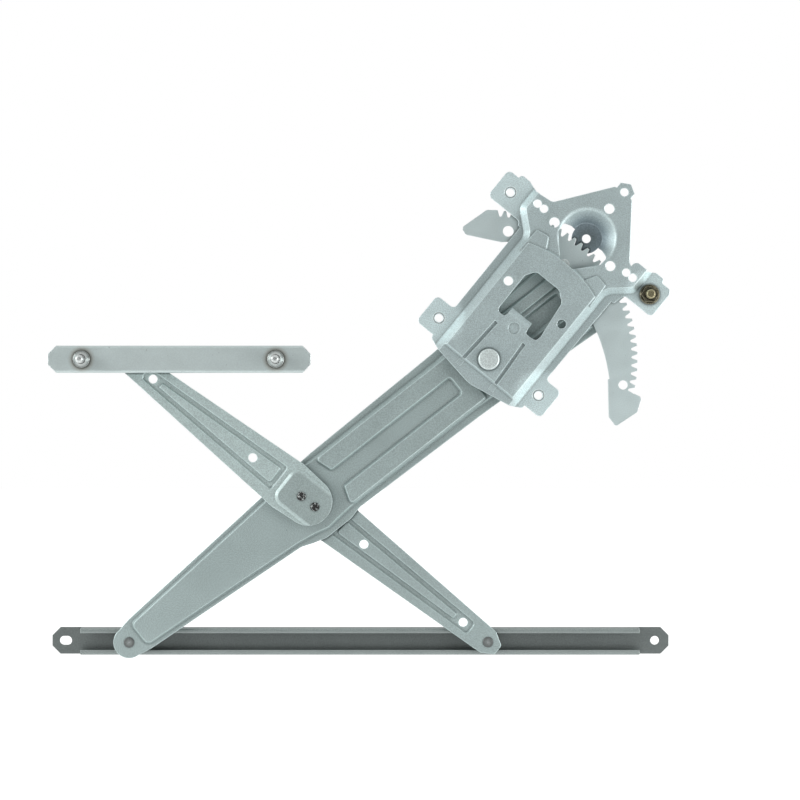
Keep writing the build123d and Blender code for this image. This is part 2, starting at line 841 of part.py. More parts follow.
upper_heading = 180 - arm_slope
equalizer_upper_arm = half_arm(upper_face, upper_heading, upper_heel_half, upper_tip_half, pad_rise)
equalizer_upper_arm.part.label = "equalizer_upper_arm"
equalizer_lower_arm = half_arm(lower_face, -arm_slope, lower_heel_half, lower_tip_half, 0)
equalizer_lower_arm.part.label = "equalizer_lower_arm"

bush_front = upper_face + arm_gauge
clinch_turn = math.radians(arm_slope)
clinch_x = clinch_spacing / 2 * math.cos(clinch_turn)
clinch_z = clinch_spacing / 2 * math.sin(clinch_turn)
clinch_places = ((scissor_x - clinch_x, scissor_z + clinch_z), (scissor_x + clinch_x, scissor_z - clinch_z))
with BuildPart() as scissor_bush:
    with BuildSketch(round_plane(scissor_x, scissor_z, bush_front)):
        Circle(bush_flange / 2)
    extrude(amount=crown_face - side_play - bush_front)
    with BuildSketch(round_plane(scissor_x, scissor_z, bush_front)):
        Circle(scissor_barrel / 2)
    extrude(amount=lower_face - bush_front)
    with BuildSketch(round_plane(scissor_x, scissor_z, bush_front)):
        Circle(pad_boss / 2)
    extrude(amount=-pad_rise)
    with BuildSketch(sheet_plane(scissor_x, scissor_z, -arm_slope, bush_front - pad_rise)):
        with Locations((-clinch_spacing / 2, 0), (clinch_spacing / 2, 0)):
            Circle(clinch / 2)
    extrude(amount=-(lower_face - bush_front + pad_rise), mode=Mode.SUBTRACT)
scissor_bush.part.label = "scissor_bush"

with BuildPart() as scissor_washer:
    with BuildSketch(round_plane(scissor_x, scissor_z, crown_face + arm_gauge + side_play)):
        Circle(bush_flange / 2)
        Circle(scissor_barrel / 2, mode=Mode.SUBTRACT)
    extrude(amount=lower_face - crown_face - arm_gauge - side_play)
scissor_washer.part.label = "scissor_washer"

with BuildPart() as scissor_rivets:
    for place in clinch_places:
        with BuildSketch(round_plane(place[0], place[1], upper_face)):
            Circle(clinch / 2)
        extrude(amount=lower_face + arm_gauge - upper_face)
        with BuildSketch(round_plane(place[0], place[1], upper_face)):
            Circle(clinch / 2)
        extrude(amount=-pad_rise)
        with BuildSketch(round_plane(place[0], place[1], upper_face - pad_rise)):
            Circle(clinch_head / 2)
            with PolarLocations(clinch_pit_circle, 4, start_angle=45):
                Circle(clinch_pit / 2, mode=Mode.SUBTRACT)
        extrude(amount=-clinch_proud)
        with BuildSketch(round_plane(place[0], place[1], lower_face + arm_gauge)):
            Circle(clinch_head / 2)
        extrude(amount=clinch_proud)
scissor_rivets.part.label = "scissor_rivets"


# Channel rails: folded sheet with inturned lips, open toward the arms
def channel(left, right, middle_z, lip_face, web_side):
    # Folded channel; its web lies behind the lips where web_side is 1, in front of them where it is -1
    section = Plane(origin=(left, lip_face, middle_z), x_dir=(0, web_side, 0), z_dir=(1, 0, 0))
    with BuildPart() as rail:
        with BuildSketch(section):
            with Locations((channel_depth / 2, 0)):
                RectangleRounded(channel_depth, channel_height, channel_bend)
                RectangleRounded(
                    channel_depth - 2 * rail_gauge,
                    channel_height - 2 * rail_gauge,
                    channel_bend - rail_gauge,
                    mode=Mode.SUBTRACT,
                )
            Rectangle(4 * rail_gauge, channel_height - 2 * channel_lip, mode=Mode.SUBTRACT)
        extrude(amount=right - left)
    return rail.part


def cut_corners(length, middle_x, middle_z):
    # Long plate outline with its four corners cut off
    half = length / 2
    high = channel_height / 2
    with BuildSketch(sheet_plane(middle_x, middle_z, 0, 0)) as shape:
        Rectangle(length, channel_height)
        chamfer(shape.vertices(), corner_cut)
    return shape.sketch


guide_left_end = left_x - guide_left
guide_middle = guide_left_end + guide_length / 2
web_front = guide_face - channel_depth
with BuildPart() as guide_rail:
    add(channel(guide_left_end, guide_left_end + guide_length, pivot_z, guide_face, -1))
    extrude(
        cut_corners(guide_length, guide_middle, pivot_z),
        amount=4 * channel_depth,
        both=True,
        mode=Mode.INTERSECT,
    )
guide_rail.part.label = "guide_rail"

with BuildPart() as guide_rail_studs:
    for stud_x in (left_x - guide_stud_left, left_x - guide_stud_left + guide_stud_pitch):
        with BuildSketch(round_plane(stud_x, pivot_z, web_front)):
            Circle(stud_flange / 2)
        extrude(amount=-stud_flange_height)
        with BuildSketch(round_plane(stud_x, pivot_z, web_front - stud_flange_height)):
            Circle(stud_flange / 2 - 0.8)
        extrude(amount=-stud_shoulder, taper=stud_cone)
        with BuildSketch(round_plane(stud_x, pivot_z, web_front - stud_flange_height - stud_shoulder)):
            Circle(stud_thread / 2)
        extrude(amount=-stud_length)
    tips = guide_rail_studs.edges().group_by(Axis.Y)[0]
    fillet(tips, stud_thread / 3)
guide_rail_studs.part.label = "guide_rail_studs"

glass_left = pivot_x + glass_right - glass_length
glass_middle = glass_left + glass_length / 2
web_back = glass_face + channel_depth
with BuildPart() as glass_rail:
    add(channel(
        glass_left + channel_left_tab, pivot_x + glass_right - channel_right_tab, low_z, glass_face, 1
    ))
    extrude(
        cut_corners(glass_length, glass_middle, low_z).moved(Location((0, web_back, 0))),
        amount=rail_gauge,
    )
    with BuildSketch(sheet_plane(glass_middle, low_z, 0, web_back)):
        with Locations((-glass_length / 2 + slot_inset, 0)):
            SlotOverall(slot_length, slot_bore)
        with Locations((glass_length / 2 - hole_inset, 0)):
            Circle(hole_bore / 2)
    extrude(amount=2 * rail_gauge, both=True, mode=Mode.SUBTRACT)
glass_rail.part.label = "glass_rail"


# Pins and rollers at the three arm ends
roller_radius = channel_height / 2 - rail_gauge - roller_play


def arm_pin(x, z, pad_face, away, lip_face):
    # Pin riveted in an arm's end, with a collar behind the arm and a head at the web
    back = pad_face + arm_gauge if away > 0 else pad_face
    front = pad_face if away > 0 else pad_face + arm_gauge
    web = lip_face + away * (channel_depth - rail_gauge)
    end = web - away * roller_gap
    with BuildPart() as pin:
        with BuildSketch(round_plane(x, z, front)):
            Circle(pin_thread / 2)
        extrude(amount=end - front)
        with BuildSketch(round_plane(x, z, front)):
            Circle(pin_tail / 2)
        extrude(amount=-away * pin_tail_height)
        with BuildSketch(round_plane(x, z, back)):
            Circle(pin_collar / 2)
        extrude(amount=away * pin_collar_height)
        with BuildSketch(round_plane(x, z, end - away * pin_head_height)):
            Circle(pin_head / 2)
        extrude(amount=away * pin_head_height)
    return pin


def roller(x, z, away, lip_face):
    # Plain roller on a pin, its back a running gap from the pin's head
    web = lip_face + away * (channel_depth - rail_gauge)
    back = web - away * (roller_gap + pin_head_height + side_play)
    with BuildPart() as wheel:
        with BuildSketch(round_plane(x, z, back - away * roller_width)):
            Circle(roller_radius)
            Circle(pin_thread / 2 + running, mode=Mode.SUBTRACT)
        extrude(amount=away * roller_width)
        chamfer(wheel.edges().filter_by(GeomType.CIRCLE).group_by(SortBy.RADIUS)[-1], 0.5)
    return wheel


upper_pin = arm_pin(left_x, pivot_z, upper_face, -1, guide_face)
upper_pin.part.label = "upper_pin"
upper_roller = roller(left_x, pivot_z, -1, guide_face)
upper_roller.part.label = "upper_roller"
lower_pin = arm_pin(pivot_x, low_z, lower_face, 1, glass_face)
lower_pin.part.label = "lower_pin"
lower_roller = roller(pivot_x, low_z, 1, glass_face)
lower_roller.part.label = "lower_roller"
lift_pin = arm_pin(left_x, low_z, flange_face, 1, glass_face)
lift_pin.part.label = "lift_pin"
lift_roller = roller(left_x, low_z, 1, glass_face)
lift_roller.part.label = "lift_roller"


# Mounting stud held in the right upper ear, its flanged nut in front
def on_plate(place):
    # Position in the part's frame of a point given across and along the plate
    return (
        pivot_x + place[0] * math.sin(tilt) + place[1] * math.cos(tilt),
        pivot_z - place[0] * math.cos(tilt) + place[1] * math.sin(tilt),
    )


stud_x, stud_z = on_plate(stud_ear)
with BuildPart() as mount_stud:
    with BuildSketch(round_plane(stud_x, stud_z, plate_gauge)):
        Circle(mount_flange / 2)
    extrude(amount=mount_head_height)
    with BuildSketch(round_plane(stud_x, stud_z, plate_gauge)):
        Circle(mount_shank / 2)
    extrude(amount=-plate_gauge - mount_flange_height - mount_hex_height)
    with BuildSketch(round_plane(stud_x, stud_z, 0)):
        Circle(mount_thread / 2)
    extrude(amount=-mount_stick_out)
    chamfer(mount_stud.edges().sort_by(Axis.Y)[0], 1)
mount_stud.part.label = "mount_stud"

with BuildPart() as mount_nut:
    with BuildSketch(round_plane(stud_x, stud_z, 0)):
        Circle(mount_flange / 2)
    extrude(amount=-mount_flange_height)
    chamfer(mount_nut.edges().sort_by(Axis.Y)[0], 0.8)
    with BuildSketch(round_plane(stud_x, stud_z, 0)):
        RegularPolygon(mount_hex / 2, 6, major_radius=False)
    extrude(amount=-mount_flange_height - mount_hex_height)
    with BuildSketch(round_plane(stud_x, stud_z, 0)):
        Circle(mount_shank / 2)
    extrude(amount=-2 * mount_stick_out, mode=Mode.SUBTRACT)
mount_nut.part.label = "mount_nut"

os.makedirs("parts", exist_ok=True)
export_step(base_plate.part, "parts/base_plate.step")
export_step(pivot_rivet.part, "parts/pivot_rivet.step")
export_step(pivot_spacer.part, "parts/pivot_spacer.step")
export_step(gear_sector.part, "parts/gear_sector.step")
export_step(sector_rivets.part, "parts/sector_rivets.step")
export_step(lift_arm.part, "parts/lift_arm.step")
export_step(equalizer_upper_arm.part, "parts/equalizer_upper_arm.step")
export_step(equalizer_lower_arm.part, "parts/equalizer_lower_arm.step")
export_step(scissor_bush.part, "parts/scissor_bush.step")
export_step(scissor_washer.part, "parts/scissor_washer.step")
export_step(scissor_rivets.part, "parts/scissor_rivets.step")
export_step(guide_rail.part, "parts/guide_rail.step")
export_step(guide_rail_studs.part, "parts/guide_rail_studs.step")
export_step(glass_rail.part, "parts/glass_rail.step")
export_step(upper_pin.part, "parts/upper_pin.step")
export_step(upper_roller.part, "parts/upper_roller.step")
export_step(lower_pin.part, "parts/lower_pin.step")
export_step(lower_roller.part, "parts/lower_roller.step")
export_step(lift_pin.part, "parts/lift_pin.step")
export_step(lift_roller.part, "parts/lift_roller.step")
export_step(mount_stud.part, "parts/mount_stud.step")
export_step(mount_nut.part, "parts/mount_nut.step")
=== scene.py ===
import json
import math

import bpy
import numpy as np
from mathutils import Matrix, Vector


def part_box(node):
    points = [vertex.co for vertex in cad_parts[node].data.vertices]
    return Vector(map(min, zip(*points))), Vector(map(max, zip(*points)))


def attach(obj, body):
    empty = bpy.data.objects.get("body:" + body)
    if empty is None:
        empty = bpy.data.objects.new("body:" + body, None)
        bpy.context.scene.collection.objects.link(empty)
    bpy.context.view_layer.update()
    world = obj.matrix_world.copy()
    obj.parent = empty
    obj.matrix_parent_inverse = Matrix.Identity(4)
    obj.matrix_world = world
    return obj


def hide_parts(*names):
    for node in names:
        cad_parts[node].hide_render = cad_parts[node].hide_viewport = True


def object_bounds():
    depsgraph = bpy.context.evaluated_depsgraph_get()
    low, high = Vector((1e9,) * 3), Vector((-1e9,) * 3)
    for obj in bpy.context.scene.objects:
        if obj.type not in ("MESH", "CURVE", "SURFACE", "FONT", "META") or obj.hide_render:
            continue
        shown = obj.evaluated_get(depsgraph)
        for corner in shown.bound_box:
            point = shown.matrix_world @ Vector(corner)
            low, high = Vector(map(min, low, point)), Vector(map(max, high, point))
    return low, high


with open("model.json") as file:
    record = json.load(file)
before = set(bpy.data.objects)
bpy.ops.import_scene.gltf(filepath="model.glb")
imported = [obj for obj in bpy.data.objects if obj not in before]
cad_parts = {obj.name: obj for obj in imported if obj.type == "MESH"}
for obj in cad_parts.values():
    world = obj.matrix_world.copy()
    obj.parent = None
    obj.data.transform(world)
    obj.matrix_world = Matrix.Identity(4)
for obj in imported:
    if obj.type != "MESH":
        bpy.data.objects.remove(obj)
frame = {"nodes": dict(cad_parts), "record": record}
cad_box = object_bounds()

# The photograph is square and shows 0.85 mm of the regulator per pixel at the ears' front faces.
PHOTO_SIDE = 800
METRES_PER_PIXEL = 0.00085
VIEW_CENTRE_X = -0.0331
VIEW_CENTRE_Z = -0.0697
CAMERA_DISTANCE = 2.0

mount_place = {mount["name"]: Vector(mount["pos_m"]) for mount in frame["record"]["mounts"]}
slot_of_node = {entry["node"]: entry["material_slot"] for entry in frame["record"]["subparts"]}
body_of_node = {
    node: body
    for body, held in frame["record"]["behaviour"]["bodies"].items()
    for node in held
}


# Finishes

WHITE = (1, 1, 1)


def plain_nodes(name):
    """An empty node material: (material, nodes, links, shader, object coordinates)."""
    finish = bpy.data.materials.new(name)
    finish.use_nodes = True
    nodes = finish.node_tree.nodes
    links = finish.node_tree.links
    shader = nodes["Principled BSDF"]
    place = nodes.new("ShaderNodeTexCoord").outputs["Object"]
    return finish, nodes, links, shader, place


def speckle(nodes, links, place, scale, detail):
    """Noise on the piece's own coordinates, with so many grains per metre."""
    noise = nodes.new("ShaderNodeTexNoise")
    noise.inputs["Scale"].default_value = scale
    noise.inputs["Detail"].default_value = detail
    noise.inputs["Roughness"].default_value = 0.6
    links.new(place, noise.inputs["Vector"])
    return noise.outputs["Fac"]


def ramp(nodes, links, value, low, high, left, right):
    """Colour that goes from left to right as value goes from low to high."""
    band = nodes.new("ShaderNodeValToRGB")
    band.color_ramp.elements[0].position = low
    band.color_ramp.elements[1].position = high
    band.color_ramp.elements[0].color = (*left, 1)
    band.color_ramp.elements[1].color = (*right, 1)
    links.new(value, band.inputs["Fac"])
    return band.outputs["Color"]


def spread(nodes, links, value, low, high):
    """A noise value carried from 0..1 to low..high."""
    map_range = nodes.new("ShaderNodeMapRange")
    map_range.inputs["To Min"].default_value = low
    map_range.inputs["To Max"].default_value = high
    links.new(value, map_range.inputs["Value"])
    return map_range.outputs["Result"]


def times(nodes, links, one, other):
    """One colour multiplied by another."""
    blend = nodes.new("ShaderNodeMix")
    blend.data_type = "RGBA"
    blend.blend_type = "MULTIPLY"
    blend.inputs["Factor"].default_value = 1
    links.new(one, blend.inputs["A"])
    links.new(other, blend.inputs["B"])
    return blend.outputs["Result"]


def towards(nodes, links, share, body, bright):
    """The body colour carried towards a bright one by a share."""
    blend = nodes.new("ShaderNodeMix")
    blend.data_type = "RGBA"
    links.new(share, blend.inputs["Factor"])
    links.new(body, blend.inputs["A"])
    blend.inputs["B"].default_value = (*bright, 1)
    return blend.outputs["Result"]


def nearest_axis(nodes, links, place, axes):
    """Distance from the nearest of the lines along Y through the axes, which are (x, z)."""
    flat = nodes.new("ShaderNodeVectorMath")
    flat.operation = "MULTIPLY"
    flat.inputs[1].default_value = (1, 0, 1)
    links.new(place, flat.inputs[0])
    nearest = None
    for axis in axes:
        gap = nodes.new("ShaderNodeVectorMath")
        gap.operation = "DISTANCE"
        gap.inputs[1].default_value = (axis[0], 0, axis[1])
        links.new(flat.outputs["Vector"], gap.inputs[0])
        if nearest is None:
            nearest = gap.outputs["Value"]
            continue
        least = nodes.new("ShaderNodeMath")
        least.operation = "MINIMUM"
        links.new(nearest, least.inputs[0])
        links.new(gap.outputs["Value"], least.inputs[1])
        nearest = least.outputs[0]
    return nearest


def round_mark(nodes, links, place, axes, near, far, inner, outer=WHITE):
    """Colour round the axes that goes from inner at the near distance to outer at the far one."""
    return ramp(nodes, links, nearest_axis(nodes, links, place, axes), near, far, inner, outer)


def painted_depth_shading(nodes, links, place, near, far, near_shade, far_shade):
    """Painted light and shade: a multiplier that goes from near_shade to far_shade as the depth along Y
    goes from near to far.
    """
    parts = nodes.new("ShaderNodeSeparateXYZ")
    links.new(place, parts.inputs[0])
    depth = nodes.new("ShaderNodeMapRange")
    depth.inputs["From Min"].default_value = near
    depth.inputs["From Max"].default_value = far
    links.new(parts.outputs["Y"], depth.inputs["Value"])
    return ramp(nodes, links, depth.outputs["Result"], 0, 1, (near_shade,) * 3, (far_shade,) * 3)


def clinched_finish(name):
    """Clinched rivet heads: torn pits painted near black for the shade in them, between crumbs of bright
    metal.
    """
    finish, nodes, links, shader, place = plain_nodes(name)
    torn = speckle(nodes, links, place, 520, 1)
    # Painted shade: the torn pits are painted near black for the shade in them.
    pit_shade_and_crumbs = ramp(nodes, links, torn, 0.50, 0.60, (0.025, 0.025, 0.025), (0.45, 0.49, 0.48))
    links.new(pit_shade_and_crumbs, shader.inputs["Base Color"])
    shader.inputs["Metallic"].default_value = 0.4
    links.new(spread(nodes, links, torn, 0.3, 0.6), shader.inputs["Roughness"])
    bump = nodes.new("ShaderNodeBump")
    bump.inputs["Strength"].default_value = 0.8
    bump.inputs["Distance"].default_value = 0.0008
    links.new(torn, bump.inputs["Height"])
    links.new(bump.outputs["Normal"], shader.inputs["Normal"])
    return finish


def openness(nodes, reach):
    """How open the surface is within the reach: one in the open, less in a crease or under a sheet."""
    closed = nodes.new("ShaderNodeAmbientOcclusion")
    closed.samples = 8
    closed.inputs["Distance"].default_value = reach
    return closed.outputs["AO"]


def turned_edge(nodes, links, rolled):
    """One where the rolled normal leaves the sheet's own, at a bend or a sheared edge. Nought on flats."""
    own = nodes.new("ShaderNodeNewGeometry").outputs["Normal"]
    match = nodes.new("ShaderNodeVectorMath")
    match.operation = "DOT_PRODUCT"
    links.new(own, match.inputs[0])
    links.new(rolled, match.inputs[1])
    return ramp(nodes, links, match.outputs["Value"], 0.90, 0.99, (1, 1, 1), (0, 0, 0))


def zinc_finish(name, tone, rough=0.44, metal=0.55, mottle=0.04, grain=1150, grain_depth=0.08, salt=0.2,
                roll=0.0009, crease_shade=0.42, edge_highlight=0.8, marks=(), fade=None):
    """Zinc plating on pressed sheet: a faint cloudiness, an even grain, small dull specks, painted shade
    in the creases and under other sheets, edges that turn over the roll's radius with a painted highlight
    on them, round marks, and painted light and shade along the depth."""
    finish, nodes, links, shader, place = plain_nodes(name)
    clouds = speckle(nodes, links, place, 22, 4)
    darker = tuple(c * (1 - mottle) for c in tone)
    lighter = tuple(min(1, c * (1 + mottle)) for c in tone)
    body = ramp(nodes, links, clouds, 0.35, 0.68, darker, lighter)
    fine = speckle(nodes, links, place, grain, 2)
    crystals = ramp(nodes, links, fine, 0.38, 0.62, (1 - salt,) * 3, (1 + salt / 2,) * 3)
    body = times(nodes, links, body, crystals)
    pits = speckle(nodes, links, place, 420, 2)
    body = times(nodes, links, body, ramp(nodes, links, pits, 0.235, 0.275, (0.62, 0.63, 0.63), WHITE))
    rolled = nodes.new("ShaderNodeBevel")
    rolled.samples = 6
    rolled.inputs["Radius"].default_value = roll
    open_sky = openness(nodes, 0.0025)
    # Painted highlight: open bends and sheared edges, where the rolled normal leaves the sheet's own, are
    # carried towards 1.7 times the tone.
    highlight_share = turned_edge(nodes, links, rolled.outputs["Normal"])
    open_highlight = ramp(nodes, links, open_sky, 0.90, 0.99, (0, 0, 0), (edge_highlight,) * 3)
    highlight_share = times(nodes, links, highlight_share, open_highlight)
    body = towards(nodes, links, highlight_share, body, tuple(min(0.95, c * 1.7) for c in tone))
    # Painted shade: creases, hollows and places under another sheet are darkened down to crease_shade.
    body = times(nodes, links, body, ramp(nodes, links, open_sky, 0.72, 0.99, (crease_shade,) * 3, WHITE))
    # Painted light and shade along the depth: the colour is multiplied by a shade that changes with Y.
    if fade:
        body = times(nodes, links, body, painted_depth_shading(nodes, links, place, *fade))
    for mark in marks:
        body = times(nodes, links, body, round_mark(nodes, links, place, *mark))
    links.new(body, shader.inputs["Base Color"])
    shader.inputs["Metallic"].default_value = metal
    smear = speckle(nodes, links, place, 70, 4)
    links.new(spread(nodes, links, smear, rough - 0.07, rough + 0.08), shader.inputs["Roughness"])
    bump = nodes.new("ShaderNodeBump")
    bump.inputs["Strength"].default_value = grain_depth
    bump.inputs["Distance"].default_value = 0.0004
    links.new(fine, bump.inputs["Height"])
    links.new(rolled.outputs["Normal"], bump.inputs["Normal"])
    links.new(bump.outputs["Normal"], shader.inputs["Normal"])
    return finish


def moulded_finish(name, tone):
    """Moulded roller plastic: nearly one colour, with a faint flow mark and a soft sheen."""
    finish, nodes, links, shader, place = plain_nodes(name)
    flow = speckle(nodes, links, place, 120, 3)
    streaks = ramp(nodes, links, flow, 0.3, 0.7, tuple(c * 0.94 for c in tone), tone)
    links.new(streaks, shader.inputs["Base Color"])
    links.new(spread(nodes, links, flow, 0.42, 0.56), shader.inputs["Roughness"])
    return finish


def axis_of(node):
    """The (x, z) of a round node's middle."""
    low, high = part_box(node)
    return (low[0] + high[0]) / 2, (low[2] + high[2]) / 2


def axis_of_mount(mount):
    """The (x, z) of a mount's place."""
    return mount_place[mount].x, mount_place[mount].z


stud_axes = [axis_of_mount(stud) for stud in ("guide_stud_left", "guide_stud_right")]
ear_axes = [axis_of_mount(ear) for ear in ("left_ear", "right_ear", "upper_left_ear", "mount_stud")]
hub_axis = axis_of_mount("spindle_bore")
pin_axes = [axis_of(pin) for pin in ("lift_pin", "upper_pin", "lower_pin")]

FINISH_OF_SLOT = {
    "plate_zinc": zinc_finish(
        "plate_zinc",
        (0.475, 0.57, 0.575),
        marks=[
            # Painted light: the plate is lighter round the ears, the sheet's frontmost level.
            (ear_axes, 0.0175, 0.0240, (1.45, 1.45, 1.45)),
            # Painted shade: the pinion cup darkened inside 14 to 24 mm of the hub, with two darker steps
            # on its floor.
            ([hub_axis], 0.0140, 0.0240, (0.50, 0.53, 0.58)),
            ([hub_axis], 0.0086, 0.0094, (0.80, 0.80, 0.78)),
            ([hub_axis], 0.0055, 0.0064, (0.80, 0.80, 0.80)),
        ],
    ),
    "arm_zinc": zinc_finish("arm_zinc", (0.395, 0.48, 0.475), roll=0.0012),
    # The sector's light tone and weak crease shade are partly its own plating and partly painted light
    # that brightens it where it lies behind the plate.
    "sector_zinc": zinc_finish(
        "sector_zinc",
        (0.65, 0.76, 0.76),
        rough=0.38,
        salt=0.04,
        roll=0.0004,
        crease_shade=0.7,
    ),
    "rail_zinc": zinc_finish(
        "rail_zinc",
        (0.54, 0.62, 0.615),
        salt=0.05,
        marks=[(stud_axes, 0.0074, 0.0086, (0.60, 0.50, 0.42))],
    ),
    "rivet_zinc": zinc_finish(
        "rivet_zinc",
        (0.66, 0.74, 0.73),
        rough=0.45,
        grain=900,
        grain_depth=0.35,
    ),
    "turned_steel": zinc_finish(
        "turned_steel",
        (0.34, 0.37, 0.365),
        rough=0.34,
        mottle=0.12,
        marks=[(pin_axes, 0.0016, 0.0024, WHITE, (0.4, 0.4, 0.4))],
    ),
    "stud_zinc": zinc_finish(
        "stud_zinc",
        (0.74, 0.78, 0.77),
        rough=0.28,
        metal=0.6,
        mottle=0.2,
        crease_shade=0.2,
        # Painted highlight: the stud's domed tip is kept bright and the stud outside it is darkened.
        marks=[(stud_axes, 0.0037, 0.0046, WHITE, (0.42, 0.45, 0.44))],
    ),
    "yellow_zinc": zinc_finish(
        "yellow_zinc",
        (0.34, 0.31, 0.19),
        rough=0.34,
        mottle=0.3,
        metal=0.8,
        crease_shade=0.3,
        salt=0.5,
    ),
    "dark_zinc": zinc_finish(
        "dark_zinc",
        (0.23, 0.215, 0.15),
        rough=0.32,
        mottle=0.5,
        metal=0.85,
        salt=0.7,
        roll=0.0005,
        edge_highlight=1.0,
    ),
    "roller_plastic": moulded_finish("roller_plastic", (0.80, 0.80, 0.76)),
}
rail_low, rail_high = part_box("glass_rail")
lip_depth = rail_low[1] + 0.002
web_depth = rail_high[1] - 0.004
FINISH_OF_NODE = {
    "equalizer_upper_arm": zinc_finish(
        "upper_half_zinc",
        (0.475, 0.575, 0.565),
        roll=0.0008,
        # Painted shade and light: the pad nearest the front darker, the pan further back lighter.
        fade=(-0.0026, -0.0012, 0.82, 1.08),
    ),
    "scissor_rivets": clinched_finish("clinched_zinc"),
    "glass_rail": zinc_finish(
        "glass_rail_zinc",
        (0.21, 0.24, 0.235),
        rough=0.46,
        salt=0.14,
        crease_shade=0.4,
        # Painted light and shade: the channel's lips lighter, its web deep in the channel darker.
        fade=(lip_depth, web_depth, 1.35, 0.78),
    ),
}

for node, solid in frame["nodes"].items():
    solid.data.materials.clear()
    solid.data.materials.append(FINISH_OF_NODE.get(node, FINISH_OF_SLOT[slot_of_node[node]]))


# Threaded studs

STEPS_PER_PITCH = 12
STEPS_AROUND = 48
SHARP_TURN = math.radians(35)


def threaded_stud(name, node, axis, stations, thread_ends, pitch, depth):
    """A stud turned about a line along Y, with a thread wound round it.

    The profile runs straight from station to station, each (y, radius). A point of the surface is the
    profile's point carried round the axis by the turn. Between the thread's ends its radius is less by
    the thread's depth times a triangle wave of y over the pitch less the turn, which fades in over one
    pitch at each end."""
    outline = np.array(stations)
    runs = np.hypot(*np.diff(outline, axis=0).T)
    along = np.concatenate(([0], np.cumsum(runs)))
    steps = [
        np.linspace(a, b, max(2, int(STEPS_PER_PITCH * (b - a) / pitch)), endpoint=False)
        for a, b in zip(along[:-1], along[1:])
    ]
    path = np.concatenate(steps + [along[-1:]])
    depth_y = np.interp(path, along, outline[:, 0])[1:-1, None]
    radius = np.interp(path, along, outline[:, 1])[1:-1, None]
    turn = np.arange(STEPS_AROUND)[None, :] / STEPS_AROUND
    wave = np.abs(2 * np.mod(depth_y / pitch - turn, 1) - 1)
    fade = np.clip(np.minimum(depth_y - thread_ends[0], thread_ends[1] - depth_y) / pitch, 0, 1)
    radius = radius - depth * wave * fade
    x = axis[0] + radius * np.cos(2 * np.pi * turn)
    z = axis[1] + radius * np.sin(2 * np.pi * turn)
    rings = np.stack([x, np.broadcast_to(depth_y, x.shape), z], axis=-1).reshape(-1, 3)
    poles = [(axis[0], outline[0, 0], axis[1]), (axis[0], outline[-1, 0], axis[1])]
    count = len(depth_y)
    here = np.arange(count * STEPS_AROUND).reshape(count, STEPS_AROUND)
    beside = np.roll(here, -1, axis=1)
    sides = np.stack([here[:-1], beside[:-1], beside[1:], here[1:]], axis=-1).reshape(-1, 4)
    start_pole = np.full(STEPS_AROUND, count * STEPS_AROUND)
    first = np.stack([start_pole, beside[0], here[0]], axis=-1)
    last = np.stack([here[-1], beside[-1], start_pole + 1], axis=-1)
    mesh = bpy.data.meshes.new(name)
    mesh.from_pydata(rings.tolist() + poles, [], sides.tolist() + first.tolist() + last.tolist())
    mesh.polygons.foreach_set("use_smooth", np.ones(len(mesh.polygons), dtype=bool))
    mesh.set_sharp_from_angle(angle=SHARP_TURN)
    mesh.materials.append(FINISH_OF_SLOT[slot_of_node[node]])
    piece = bpy.data.objects.new(name, mesh)
    bpy.context.scene.collection.objects.link(piece)
    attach(piece, body_of_node[node])
    return piece


EDGE_BREAK = 0.0004
GUIDE_FLANGE = 0.0072
GUIDE_FLANGE_HEIGHT = 0.0016
GUIDE_SHOULDER = 0.0030
GUIDE_SHOULDER_FOOT = 0.0064
GUIDE_SHOULDER_HEAD = 0.0042
GUIDE_THREAD = 0.0035
GUIDE_TIP = 0.0023
GUIDE_PITCH = 0.0010
GUIDE_THREAD_DEPTH = 0.0005
GUIDE_RUN_OUT = 0.0006
guide_tip_y, guide_root_y = (corner[1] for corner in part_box("guide_rail_studs"))
flange_y = guide_root_y - GUIDE_FLANGE_HEIGHT
shoulder_y = flange_y - GUIDE_SHOULDER
tip_arc = [
    (guide_tip_y + GUIDE_TIP * (1 - math.sin(a)), GUIDE_THREAD - GUIDE_TIP * (1 - math.cos(a)))
    for a in np.linspace(0, math.pi / 2, 6)
]
guide_profile = [
    (guide_root_y, 0),
    (guide_root_y, GUIDE_FLANGE),
    (flange_y + EDGE_BREAK, GUIDE_FLANGE),
    (flange_y, GUIDE_FLANGE - EDGE_BREAK),
    (flange_y, GUIDE_SHOULDER_FOOT),
    (shoulder_y, GUIDE_SHOULDER_HEAD),
    (shoulder_y, GUIDE_THREAD),
] + tip_arc + [(guide_tip_y, 0)]
guide_threads = [
    threaded_stud(
        f"guide_stud_{side}_threaded",
        "guide_rail_studs",
        axis,
        guide_profile,
        (guide_tip_y + GUIDE_TIP / 2, shoulder_y - GUIDE_RUN_OUT),
        GUIDE_PITCH,
        GUIDE_THREAD_DEPTH,
    )
    for side, axis in zip(("left", "right"), stud_axes)
]
for stud in guide_threads:
    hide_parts("guide_rail_studs")

